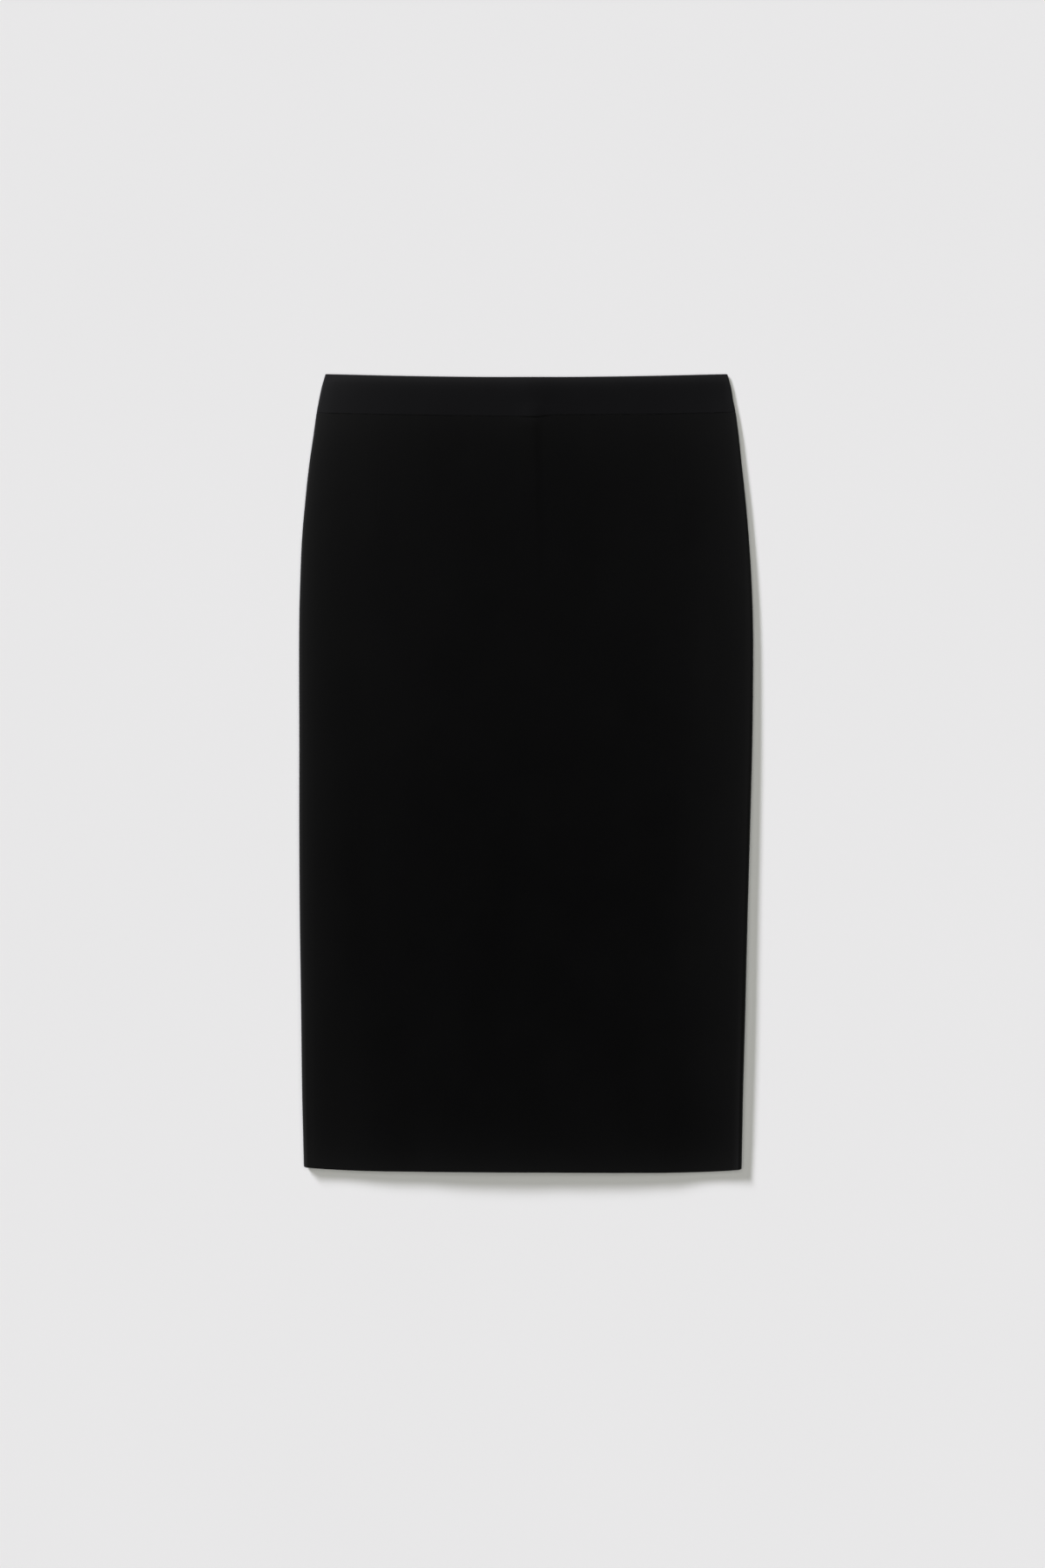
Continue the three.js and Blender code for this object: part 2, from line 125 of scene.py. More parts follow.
# %% [markdown]
# The form
#
# Every point of the skirt is found from three things: which layer it is in, how far down and across it
# is, and how deep it lies in the wall. That makes a seam easy: both pieces ask the same function, so they
# meet exactly.

# %% Curves and steps
def mix(a, b, share):
    return a + (b - a) * share


def smooth(value):
    t = np.clip(value, 0, 1)
    return t * t * (3 - 2 * t)


def along(table, column, down):
    """A column of a table at distances down, on a smooth curve through its rows."""
    rows = np.array(table["down"], float)
    values = np.array(table[column], float)
    i = np.clip(np.searchsorted(rows, down, side="right") - 1, 0, len(rows) - 2)
    before, after = np.maximum(i - 1, 0), np.minimum(i + 2, len(rows) - 1)
    span = rows[i + 1] - rows[i]
    t = np.clip((down - rows[i]) / span, 0, 1)
    leaving = (values[i + 1] - values[before]) / (rows[i + 1] - rows[before]) * span
    arriving = (values[after] - values[i]) / (rows[after] - rows[i]) * span
    rise = mix(values[i], values[i + 1], smooth(t))
    return rise + t * (1 - t) * ((1 - t) * leaving - t * arriving)


def spaced(start, stops):
    """Evenly spaced values through stops, each (place, steps to reach it)."""
    values = [np.array([start], float)]
    for stop, steps in stops:
        values.append(np.linspace(values[-1][-1], stop, steps + 1)[1:])
    return np.concatenate(values)


knee_width = float(along(OUTLINE, "left", 600) + along(OUTLINE, "right", 600))
print("600 mm down it is", round(knee_width, 1), "mm wide")

# %% Sizes of a row
def station(down):
    """The sizes of the skirt's section at distances down."""
    row = {name: along(OUTLINE, name, down) for name in ("left", "right")}
    row.update({name: along(FORM, name, down) for name in FORM if name != "down"})
    row["round"] = SIDE_ROUND + SIDE_ROUND_SHARE * row["rim"]
    return row


def from_side(x, row):
    """Distance in from the nearer side."""
    return np.where(x < 0, row["left"] + x, row["right"] - x)


print("the sides are", round(float(station(305.0)["rim"]), 1), "mm high 305 mm down")

# %% Step of the waist seam
SEAM_JOG = 0.6  # the waist seam lies lower before the zip, and higher past it
JOG_PLACE = 16
JOG_WIDTH = 7
JOG_REACH = 95  # it fades out to the sides
JOG_HEIGHT = 9  # and up and down


def seam_jog(x, down):
    """The small step of the waist seam where it crosses the zip."""
    past = (x - JOG_PLACE) / JOG_WIDTH
    near_seam = np.exp(-(((down - BAND_HEIGHT) / JOG_HEIGHT) ** 2))
    return SEAM_JOG * np.tanh(past) * np.exp(-((past * JOG_WIDTH / JOG_REACH) ** 2)) * near_seam


print("10 mm past the step the seam is", round(float(seam_jog(JOG_PLACE + 10, BAND_HEIGHT)), 2), "mm higher")


# %% Points on the skirt
def fall(x, row):
    """How far a row has fallen below its left end at x."""
    u = x / np.where(x < 0, row["left"], row["right"])
    return row["tilt"] * (u + 1) / 2 + row["sag"] * (1 - np.abs(u) ** row["arch"])


def place(x, z, down):
    """Points of the skirt in millimetres."""
    y = HALF_LENGTH - down - fall(x, station(down)) + seam_jog(x, down)
    return np.stack(np.broadcast_arrays(x, y, z), axis=-1)


print("middle of the hem:", place(0.0, 0.0, float(LENGTH)).round(1), "mm")


# %% Height of the front
def fold_height(fold, x, down):
    share = np.clip((down - fold["down"]) / (fold["to_down"] - fold["down"]), 0, 1)
    across = x - mix(fold["x"], fold["to_x"], share)
    across = across / np.where(across < 0, fold.get("left_width", fold["width"]), fold["width"])
    outside = np.maximum(np.maximum(fold["down"] - down, down - fold["to_down"]), 0)
    height = mix(fold["height"], fold.get("to_height", fold["height"]), share)
    return height * np.exp(-across * across) * (1 - smooth(outside / fold["fade"]))


def front_height(x, down):
    """Height of the front's face, folds, creases and darts included."""
    row = station(down)
    inward = from_side(x, row) - row["round"]
    height = mix(row["rim"], row["middle"], smooth(inward / row["spread"]))
    for fold in FOLDS + CREASES:
        height = height + fold_height(fold, x, down)
    return height - dart_groove(x, down)


# %% Rise of the band, and climb of the underlap
BAND_RISE = 0.4  # the band stands higher, because the seam allowances are pressed up into it
BAND_RISE_FADE = 10  # in from each side
ZIP_RISE = 0.65  # the zip's folded end lifts the band's lower edge further
ZIP_RISE_PLACE = 6.5
ZIP_RISE_WIDTH = 10
ZIP_RISE_DOWN = 16
ZIP_RISE_LENGTH = 18


def band_rise(x, down):
    row = station(down)
    inward = from_side(x, row) - row["round"]
    over_zip = ZIP_RISE * np.exp(-(((x - ZIP_RISE_PLACE) / ZIP_RISE_WIDTH) ** 2))
    over_zip = over_zip * smooth((down - ZIP_RISE_DOWN) / ZIP_RISE_LENGTH)
    return BAND_RISE * smooth(inward / BAND_RISE_FADE) + over_zip


def in_vent(down):
    """Whether a row is in the vent. The top row is, whatever a sum has done to its last digit."""
    return down >= VENT_TOP - 1e-6


def underlap_lift(x, down):
    """The climb of the right back panel onto the other side's edge, at the vent."""
    turned = np.clip((down - (LENGTH - TURN_UP - HEM_STEP)) / HEM_STEP, 0, 1)
    wall = PANEL_WALL * (1 + turned)
    climb = smooth(1 + (x - station(down)["seam"]) / UNDERLAP_RISE)
    return np.where(in_vent(down), (wall + LAYER_CLEARANCE) * climb, 0)


print("the band's rise over the zip:", round(float(band_rise(ZIP_RISE_PLACE, BAND_HEIGHT)), 2), "mm")

# %% [markdown]
# Creases and darts
#
# Crepe hangs without hard folds, and this skirt was pressed. What is left is faint: a slack ripple below
# the waistband, a little fullness at each dart's tip, and long shallow waves towards the hem. They are
# placed one by one, uneven in length and depth, and none is deeper than a millimetre.

# %% Creases, in the same form as the folds
CREASES = [
    {"x": -96, "down": 44, "to_x": -90, "to_down": 96, "height": 0.22, "width": 9, "fade": 30},
    {"x": -58, "down": 40, "to_x": -61, "to_down": 70, "height": -0.18, "width": 8, "fade": 24},
    {"x": 52, "down": 42, "to_x": 47, "to_down": 88, "height": -0.2, "width": 10, "fade": 28},
    {"x": 101, "down": 42, "to_x": 106, "to_down": 78, "height": 0.2, "width": 8, "fade": 26},
    {"x": -140.8, "down": 122, "to_x": -143, "to_down": 150, "height": 0.35, "width": 12, "fade": 26},
    {"x": 142.7, "down": 122, "to_x": 146, "to_down": 146, "height": 0.32, "width": 11, "fade": 26},
    {"x": -62, "down": 150, "to_x": -86, "to_down": 330, "height": 0.45, "width": 28, "fade": 80},
    {"x": 72, "down": 180, "to_x": 60, "to_down": 300, "height": -0.4, "width": 25, "fade": 70},
    {"x": 171, "down": 210, "to_x": 178, "to_down": 330, "height": 0.45, "width": 15, "fade": 60},
    {"x": -150, "down": 250, "to_x": -128, "to_down": 430, "height": -0.65, "width": 28, "fade": 90},
    {"x": 118, "down": 300, "to_x": 141, "to_down": 455, "height": -0.6, "width": 26, "fade": 80},
    {"x": -178, "down": 400, "to_x": -170, "to_down": 520, "height": 0.5, "width": 16, "fade": 60},
    {"x": -40, "down": 520, "to_x": -66, "to_down": 700, "height": 0.65, "width": 24, "fade": 80},
    {"x": 74, "down": 560, "to_x": 88, "to_down": 720, "height": 0.6, "width": 22, "fade": 70},
    {"x": 10, "down": 545, "to_x": 14, "to_down": 575, "height": 0.25, "width": 13, "fade": 22},
    {"x": -116, "down": 610, "to_x": -106, "to_down": 760, "height": -0.55, "width": 17, "fade": 60},
    {"x": 20, "down": 650, "to_x": 15, "to_down": 760, "height": -0.45, "width": 20, "fade": 50},
    {"x": 124, "down": 590, "to_x": 130, "to_down": 760, "height": 0.5, "width": 15, "fade": 70},
]


GROOVE_DEPTH = 0.04
GROOVE_WIDTH = 0.5
DIMPLE_DEPTH = 0.25
DIMPLE_WIDTH = 1.2
DIMPLE_LENGTH = 1.6


def dart_groove(x, down):
    """A dart is sewn from the waist to its tip, and shows as one fine line that ends in a small dimple."""
    depth = 0
    share = (down - BAND_HEIGHT) / DART_LENGTH
    sewn = np.where(down > BAND_HEIGHT, 1 - smooth((share - 0.8) / 0.25), 0)  # it fades near the tip
    for dart in DARTS:
        line = mix(dart["top"], dart["tip"], np.clip(share, 0, 1))
        depth = depth + GROOVE_DEPTH * np.exp(-((x - line) / GROOVE_WIDTH) ** 2) * sewn
        past_tip = (share - 1) * DART_LENGTH / DIMPLE_LENGTH
        depth = depth + DIMPLE_DEPTH * np.exp(-((x - dart["tip"]) / DIMPLE_WIDTH) ** 2 - past_tip ** 2)
    return depth


print(len(CREASES), "creases and", len(DARTS), "darts on the front")

# %% [markdown]
# Columns
#
# A shell is a grid. Its rows run down the skirt, and its columns run across it. A column on the flat part
# knows its place across; a column on the side knows its angle round the fold. Near a seam the columns
# crowd together, so that the cloth can roll in over the last 0.4 mm as a stitched edge does.

# %% Layers
FRONT = {"side": 1, "height": lambda x, down, depth: front_height(x, down) - depth}
BAND_FRONT = {"side": 1, "height": lambda x, down, depth: front_height(x, down) + band_rise(x, down) - depth}
BACK = {"side": -1, "height": lambda x, down, depth: depth + 0 * x}
BACK_VENT = {"side": -1, "height": lambda x, down, depth: underlap_lift(x, down) + depth}


def seam_roll(distance, depth):
    """Extra depth at a distance from a seam, for the face alone."""
    inside = np.clip(SEAM_ROLL - distance, 0, SEAM_ROLL)
    drop = SEAM_ROLL - np.sqrt(SEAM_ROLL**2 - inside**2)
    return drop * np.clip(1 - depth / PANEL_WALL, 0, 1)


print("a seam's edge rolls in by", SEAM_ROLL, "mm")


# %% Columns round the sides
def rim_column(side, angle):
    def points(layer, down, depth):
        row = station(down)
        depth = depth + seam_roll(angle * row["rim"] / 2, depth)
        reach = (row["left"] if side < 0 else row["right"]) - row["round"]
        tall = (row["rim"] - SEAM_GAP) / 2 - depth
        x = side * (reach + (row["round"] - depth) * math.cos(angle))
        z = row["rim"] / 2 + layer["side"] * (SEAM_GAP / 2 + tall * math.sin(angle))
        return place(x, z, down)
    return points


RIM_ANGLES = [0, 0.02, 0.05, 0.09, 0.16, *np.linspace(0.27, math.pi / 2, 10)[:-1]]  # closer at the side seam


def rim_columns(side):
    columns = [rim_column(side, float(a)) for a in RIM_ANGLES]
    return columns if side < 0 else columns[::-1]


print(len(RIM_ANGLES), "columns round a side, above its seam")


# %% Columns across the flat
def flat_column(find_x, from_seam=None):
    def points(layer, down, depth):
        x = find_x(station(down), down)
        if from_seam is not None:
            depth = depth + seam_roll(from_seam, depth)
        return place(x, layer["height"](x, down, depth), down)
    return points


def left_edge(row, down):
    return row["round"] - row["left"]


def right_edge(row, down):
    return row["right"] - row["round"]


def flat_columns(start, end, steps):
    """Columns from one place across to another, without the last."""
    def at(share):
        return flat_column(lambda row, down: mix(start(row, down), end(row, down), share))
    return [at(k / steps) for k in range(steps)]


EDGE_AWAY = (3, 1.5, 0.8, 0.5, 0.3, 0.12, 0)  # distances from a seam
EDGE_ZONE = 4  # the columns before them stop this far from it


def edge_columns(find_edge, side):
    """Columns that crowd up to a seam, on the side where the piece lies."""
    def at(away):
        return flat_column(lambda row, down: find_edge(row, down) + side * away, away)
    columns = [at(away) for away in EDGE_AWAY]
    return columns if side < 0 else columns[::-1]


print(len(EDGE_AWAY), "columns crowd up to a seam")


# %% Lines down the skirt
def seam_of(row, down):
    return row["seam"]


def beside(find, offset):
    return lambda row, down: find(row, down) + offset


def dart_line(dart):
    def find(row, down):
        return mix(dart["top"], dart["tip"], np.clip((down - BAND_HEIGHT) / DART_LENGTH, 0, 1))
    return find


# %% Columns of the front
NEAR_DART = 2.4
NEAR_ZIP = 18


def panel_columns():
    """All across the front: each place, and the number of columns from there to the next."""
    left_dart, right_dart = (dart_line(dart) for dart in DARTS)
    stops = [
        (left_edge, 14), (beside(left_dart, -NEAR_DART), 12), (beside(left_dart, NEAR_DART), 26),
        (beside(seam_of, -NEAR_ZIP), 22), (beside(seam_of, NEAR_ZIP), 24),
        (beside(right_dart, -NEAR_DART), 12), (beside(right_dart, NEAR_DART), 14),
    ]
    places = [find for find, _ in stops] + [right_edge]
    columns = rim_columns(-1)
    for (find, steps), following in zip(stops, places[1:]):
        columns += flat_columns(find, following, steps)
    return columns + [flat_column(right_edge)] + rim_columns(1)


FRONT_COLUMNS = panel_columns()
print(len(FRONT_COLUMNS), "columns across the front")

# %% [markdown]
# Rows and folds
#
# The hem is turned up, and the waistband is folded over at the top. Both are one strip of cloth with a
# round fold, so each row of the grid holds two points in the wall's section: one on the cloth's face and
# one on its back. At the fold the face runs round a large arc and the back round a tiny one.

# %% Sections of the cloth, as rows of face and back
EDGE_STEPS = (0, 0.06, 0.18, 0.4, 0.8, 2.0)


def strip_rows(downs, face, back, from_edge=None):
    """Rows along a straight stretch. from_edge gives each row's distance from a sewn edge."""
    downs = np.asarray(downs, float)
    face = np.full(len(downs), float(face))
    if from_edge is not None:
        face = face + seam_roll(np.asarray(from_edge, float), face)
    return np.stack([downs, face, downs, np.full(len(downs), float(back))], axis=1)


def fold_rows(fold_down, wall, direction, steps=8):
    """Rows round a fold. direction is 1 for a hem's fold and -1 for a band's."""
    outer, inner = wall / 2, LAYER_GAP / 2
    turn = np.linspace(0, math.pi, steps + 1)[1:-1]
    middle = fold_down - direction * outer
    return np.stack([
        middle + direction * outer * np.sin(turn), outer - outer * np.cos(turn),
        middle + direction * inner * np.sin(turn), outer - inner * np.cos(turn),
    ], axis=1)


def folded_strip(sewn_down, fold_down, wall, stops, return_stops):
    """From a sewn edge to a fold, and back along the inside."""
    direction = 1 if fold_down > sewn_down else -1
    layer = (wall - LAYER_GAP) / 2
    steps = np.array(EDGE_STEPS)
    last = fold_down - direction * wall / 2
    main = spaced(sewn_down + direction * EDGE_STEPS[-1], stops + [(last, 3)])[1:]
    inside = spaced(last, return_stops)
    return np.concatenate([
        strip_rows(sewn_down + direction * steps, 0, layer, steps),
        strip_rows(main, 0, layer),
        fold_rows(fold_down, wall, direction),
        strip_rows(inside, wall, wall - layer),
    ])


PANEL_TOP = BAND_HEIGHT + SEAM_GAP / 2
UPPER_END = 130  # rows are closer above here, at the darts
VENT_ZONE = 8  # and this far above the vent
FOLD_ZONE = 3  # and this far above the hem's fold
PANEL_STOPS = [
    (UPPER_END, 18), (VENT_TOP - VENT_ZONE, 84), (VENT_TOP, 4),
    (LENGTH - TURN_UP, 33), (LENGTH - FOLD_ZONE, 8),
]
PANEL_SECTION = folded_strip(
    PANEL_TOP, LENGTH, 2 * PANEL_WALL, PANEL_STOPS, [(LENGTH - FOLD_ZONE, 2), (LENGTH - TURN_UP, 10)]
)
print(len(PANEL_SECTION), "rows in a panel")


# %% [markdown]
# Painted sheen at the edges
#
# An iron flattens the nap of crepe, and a flat nap shines a little, but most of what is drawn here is
# painted sheen: the crepe's colour is painted lighter along the sides, the waist and the hem, and a little
# towards the waist, for the sheen and the glow of light round the skirt's edges. Each point of the mesh
# keeps its share of painted sheen, and the crepe's material reads it.

# %% Painted sheen at the edges
# amount is how much painted sheen there is, and reach how many millimetres from the edge that fades over
PAINTED_SHEEN = {
    "left edge": {"amount": 0.56, "reach": 6},
    "left side": {"amount": 0.3, "reach": 44, "at_waist": 1.1},
    "right rim": {"amount": 0.5, "reach": 2},
    "right edge": {"amount": 0.26, "reach": 6},
    "right side": {"amount": 0.25, "reach": 40, "at_waist": 0.6},
    "top edge": {"amount": 0.4, "reach": 6},
    "below the band": {"amount": 0.14, "reach": 30},
    "hem": {"amount": 0.24, "reach": 18},
}
SIDE_SHARE = 0.85  # of a side's amount, all the way down; at_waist is added near the waist
WAIST_REACH = 150
# painted sheen along the band's fold at the top of the waist
TOP_FOLD = {"amount": 0.5, "width": 5.5}
RIGHT_CORNER = {"amount": 0.3, "across": 60, "down": 30}  # less painted sheen at the right end of the waist
# painted light: the panel's colour is painted a little lighter towards the waist
UPPER_PANEL = {"amount": 0.05, "down": 180, "fade": 300}


def painted_sheen_at(name, distance):
    return PAINTED_SHEEN[name]["amount"] * np.exp(-distance / PAINTED_SHEEN[name]["reach"])


def side_painted_sheen(name, distance, down):
    return painted_sheen_at(name, distance) * (SIDE_SHARE + PAINTED_SHEEN[name]["at_waist"] * np.exp(-down / WAIST_REACH))


def painted_sheen(points):
    """How much painted sheen lightens the crepe's colour, at points in millimetres."""
    x, down = points[:, 0], HALF_LENGTH - points[:, 1]
    row = station(down)
    straight = down - fall(x, row)
    down = straight
    for _ in range(3):  # the seam's step depends on the distance down, so a few rounds find both
        down = straight + seam_jog(x, down)
    side = from_side(x, row)
    corner = RIGHT_CORNER["amount"] * np.exp(-side / RIGHT_CORNER["across"] - down / RIGHT_CORNER["down"])
    left = painted_sheen_at("left edge", side) + side_painted_sheen("left side", side, down)
    right = painted_sheen_at("right edge", side) + painted_sheen_at("right rim", side)
    right += side_painted_sheen("right side", side, down) - corner
    upper = UPPER_PANEL["amount"] * (1 - smooth((down - UPPER_PANEL["down"]) / UPPER_PANEL["fade"]))
    panel = np.where(down > BAND_HEIGHT, painted_sheen_at("below the band", down - BAND_HEIGHT) + upper, 0)
    ends = painted_sheen_at("top edge", np.maximum(down, 0)) + painted_sheen_at("hem", np.maximum(LENGTH - down, 0))
    ends += TOP_FOLD["amount"] * np.exp(-((down / TOP_FOLD["width"]) ** 2))
    return np.clip(np.where(x < 0, left, right) + panel + ends, 0, 1)


print("pressed in the middle of the waist:", painted_sheen(np.array([[0.0, HALF_LENGTH - 3, 0.0]])).round(2)[0])


# %% Grid to mesh
CRISP_TURN = 50  # degrees: a turn sharper than this isn't smoothed


def mesh_object(name, points, faces, crisp=CRISP_TURN):
    """An object in metres. Its faces are smooth, apart from turns sharper than crisp, if that is given."""
    mesh = bpy.data.meshes.new(name)
    mesh.from_pydata(points.tolist(), [], faces)
    mesh.update()
    mesh.polygons.foreach_set("use_smooth", [True] * len(mesh.polygons))
    if crisp:
        mesh.set_sharp_from_angle(angle=math.radians(crisp))
    obj = bpy.data.objects.new(name, mesh)
    bpy.context.scene.collection.objects.link(obj)
    return obj


def wall_mesh(name, face, back, outward=1, kept=None):
    """One closed shell between two grids of points, in millimetres. outward is 1 for a face on top."""
    rows, columns = face.shape[:2]
    index = np.arange(rows * columns).reshape(rows, columns)
    kept = np.ones((rows - 1, columns - 1), bool) if kept is None else kept
    corner = [index[:-1, :-1], index[1:, :-1], index[1:, 1:], index[:-1, 1:]]
    under = [c + rows * columns for c in corner]
    quads = [
        np.stack([c[kept] for c in corner], axis=1),
        np.stack([c[kept] for c in under[::-1]], axis=1),
    ]
    padded = np.pad(kept, 1)
    open_sides = [
        (0, 1, padded[1:-1, :-2]), (1, 2, padded[2:, 1:-1]),
        (2, 3, padded[1:-1, 2:]), (3, 0, padded[:-2, 1:-1]),
    ]
    for a, b, neighbour in open_sides:
        edge = kept & ~neighbour
        quads.append(np.stack([corner[a][edge], under[a][edge], under[b][edge], corner[b][edge]], axis=1))
    quads = np.concatenate(quads)
    if outward < 0:
        quads = quads[:, ::-1]
    points = np.concatenate([face.reshape(-1, 3), back.reshape(-1, 3)])
    used, quads = np.unique(quads, return_inverse=True)
    piece = mesh_object(name, points[used] * MM, quads.reshape(-1, 4).tolist())
    # each point keeps its share of painted sheen, which the crepe's colour reads
    piece.data.attributes.new("painted_sheen", "FLOAT", "POINT").data.foreach_set("value", painted_sheen(points[used]))
    return piece


# %% Cloth from its section and columns
def cloth(name, layer, section, columns, kept=None, shift=None):
    """A piece of cloth: its section carried over its columns."""
    face_down, face_depth, back_down, back_depth = section.T
    grids = []
    for down, depth in ((face_down, face_depth), (back_down, back_depth)):
        points = []
        for number, column in enumerate(columns):
            moved = down if shift is None else down + shift(number)
            points.append(column(layer, moved, depth))
        grids.append(np.stack(points, axis=1))
    goes_down = section[len(section) // 3, 0] > section[0, 0]
    outward = layer["side"] * (1 if goes_down else -1)
    piece = wall_mesh(name, grids[0], grids[1], outward, kept)
    print(name, len(piece.data.polygons), "faces")
    return piece


# %% [markdown]
# Colour
#
# Colours are written as a designer would pick them, in sRGB hex, and turned to linear once. One helper
# adds a shader node with its settings and links, which keeps each material as short as its recipe.

# %% Colour and node helpers
def linear(hex_colour):
    channels = [int(hex_colour[i : i + 2], 16) / 255 for i in (1, 3, 5)]
    return tuple(c / 12.92 if c <= 0.04045 else ((c + 0.055) / 1.055) ** 2.4 for c in channels) + (1.0,)


def add_node(tree, kind, settings=None, links=None, **values):
    """A node with its settings, its sockets' values and its links, each socket: (node, output)."""
    node = tree.nodes.new(kind)
    for name, value in (settings or {}).items():
        setattr(node, name, value)
    for name, value in values.items():
        node.inputs[name.replace("_", " ")].default_value = value
    for name, (source, output) in (links or {}).items():
        tree.links.new(source.outputs[output], node.inputs[name])
    return node


def new_material(name, **shader_values):
    material = bpy.data.materials.new(name)
    material.use_nodes = True
    tree = material.node_tree
    shader = tree.nodes["Principled BSDF"]
    for socket, value in shader_values.items():
        shader.inputs[socket.replace("_", " ")].default_value = value
    return material, tree, shader


print("pale board", [round(channel, 3) for channel in linear("#E8E8E8")[:3]], "in linear")

# %% [markdown]
# Crepe
#
# Crepe is woven from hard-twisted yarn that shrinks into a fine pebble when the cloth is washed, then
# dyed black in the piece. The pebble scatters light, so the cloth looks dead matt, and a soft sheen shows
# only where it turns away at the sides. Its colour is also painted lighter along the sides, the waist and
# the hem, as painted sheen. The band is fused to a stiffener, so it is a little flatter and lighter than
# the panels. The real pebble is about 0.5 mm across, finer than a pixel of the picture, so it is drawn
# 1.1 mm across, which is as coarse as it needs to be to show at all.

# %% Crepe
CREPE_PEBBLE = 1.1 * MM
CREPE_RELIEF = 0.12 * MM
CREPE_SHEEN = 0.3
YARN = 0.9 * MM  # the real yarn is about 0.3 mm, too fine to show
WAVE_REPEAT = 0.314  # metres: how far a wave texture of scale 1 runs before it repeats
CLOUD_SCALE = 14.0  # the dye is uneven in patches about 70 mm across


def crepe(name, dark, light, sheen_colour, level):
    material, tree, shader = new_material(
        name, IOR=1.5, Specular_IOR_Level=level, Specular_Tint=linear("#FFFFFB"),
        Sheen_Weight=CREPE_SHEEN, Sheen_Roughness=0.36, Sheen_Tint=linear("#CFCFD2"),
    )
    where = add_node(tree, "ShaderNodeTexCoord")
    pebble = add_node(
        tree, "ShaderNodeTexNoise", links={"Vector": (where, "Object")},
        Scale=1 / CREPE_PEBBLE, Detail=3.0, Roughness=0.6, Distortion=0.4,
    )
    warp = add_node(
        tree, "ShaderNodeTexWave", {"wave_type": "BANDS", "bands_direction": "X"},
        {"Vector": (where, "Object")}, Scale=WAVE_REPEAT / YARN,
        Distortion=3.0, Detail=2.0, Detail_Scale=2.0,
    )
    relief = add_node(
        tree, "ShaderNodeMix", {"data_type": "FLOAT"},
        {"A": (pebble, "Fac"), "B": (warp, "Fac")}, Factor=0.25,
    )
    bump = add_node(
        tree, "ShaderNodeBump", links={"Height": (relief, "Result")},
        Strength=0.6, Distance=CREPE_RELIEF,
    )
    tree.links.new(bump.outputs["Normal"], shader.inputs["Normal"])
    cloud = add_node(
        tree, "ShaderNodeTexNoise", links={"Vector": (where, "Object")},
        Scale=CLOUD_SCALE, Detail=4.0, Roughness=0.55,
    )
    tone = add_node(
        tree, "ShaderNodeMix", {"data_type": "FLOAT"},
        {"A": (pebble, "Fac"), "B": (cloud, "Fac")}, Factor=0.5,
    )
    ramp = add_node(tree, "ShaderNodeValToRGB", links={"Fac": (tone, "Result")})
    ramp.color_ramp.elements[0].position = 0.3
    ramp.color_ramp.elements[0].color = linear(dark)
    ramp.color_ramp.elements[1].position = 0.72
    ramp.color_ramp.elements[1].color = linear(light)
    # painted sheen: the base colour is mixed towards the lighter sheen grey by each point's share
    sheen_share = add_node(tree, "ShaderNodeAttribute", {"attribute_name": "painted_sheen"})
    colour = add_node(
        tree, "ShaderNodeMix", {"data_type": "RGBA"}, {"Factor": (sheen_share, "Fac")},
    )
    # a Mix node's colour sockets have the same names as its number ones, so they are found by their place
    tree.links.new(ramp.outputs["Color"], colour.inputs[6])
    colour.inputs[7].default_value = linear(sheen_colour)
    tree.links.new(colour.outputs[2], shader.inputs["Base Color"])
    rough = add_node(
        tree, "ShaderNodeMapRange", links={"Value": (pebble, "Fac")}, To_Min=0.72, To_Max=0.84,
    )
    tree.links.new(rough.outputs["Result"], shader.inputs["Roughness"])
    return material


# the third colour of each crepe is the grey of its painted sheen
PANEL_CREPE = crepe("piece_dyed_polyester_crepe", "#020202", "#050505", "#1C1C1C", 0.05)
BAND_CREPE = crepe("fused_polyester_crepe_band", "#050506", "#080809", "#1C1C1D", 0.125)
print("crepe pebble", CREPE_PEBBLE / MM, "mm")

# %% [markdown]
# Zip and thread
#
# A concealed zip has a thin knitted tape with a moulded nylon coil along its edge, and a small slider of
# zinc alloy with baked enamel. Seams are sewn with spun polyester thread, which is duller than the nylon.

# %% Knitted tape, nylon, enamel and thread
WALE = 1.0 * MM  # width of a column of knitting
KNIT_RELIEF = 0.08 * MM
GRAIN = 0.4 * MM
GRAIN_RELIEF = 0.01 * MM


def fine_relief(tree, shader, scale, distance, low, high):
    """A fine noise in the roughness and the relief, for small hard pieces."""
    where = add_node(tree, "ShaderNodeTexCoord")
    grain = add_node(
        tree, "ShaderNodeTexNoise", links={"Vector": (where, "Object")}, Scale=scale, Detail=3.0,
    )
    rough = add_node(tree, "ShaderNodeMapRange", links={"Value": (grain, "Fac")}, To_Min=low, To_Max=high)
    tree.links.new(rough.outputs["Result"], shader.inputs["Roughness"])
    bump = add_node(
        tree, "ShaderNodeBump", links={"Height": (grain, "Fac")}, Strength=0.5, Distance=distance,
    )
    tree.links.new(bump.outputs["Normal"], shader.inputs["Normal"])


def knitted_tape():
    material, tree, shader = new_material("knitted_polyester_zip_tape", IOR=1.5, Specular_IOR_Level=0.15)
    shader.inputs["Base Color"].default_value = linear("#0B0B0D")
    where = add_node(tree, "ShaderNodeTexCoord")
    wales = add_node(
        tree, "ShaderNodeTexWave", {"wave_type": "BANDS", "bands_direction": "Y"},
        {"Vector": (where, "Object")}, Scale=WAVE_REPEAT / WALE, Distortion=1.0,
    )
    rough = add_node(tree, "ShaderNodeMapRange", links={"Value": (wales, "Fac")}, To_Min=0.7, To_Max=0.9)
    tree.links.new(rough.outputs["Result"], shader.inputs["Roughness"])
    bump = add_node(
        tree, "ShaderNodeBump", links={"Height": (wales, "Fac")}, Strength=0.6, Distance=KNIT_RELIEF,
    )
    tree.links.new(bump.outputs["Normal"], shader.inputs["Normal"])
    return material


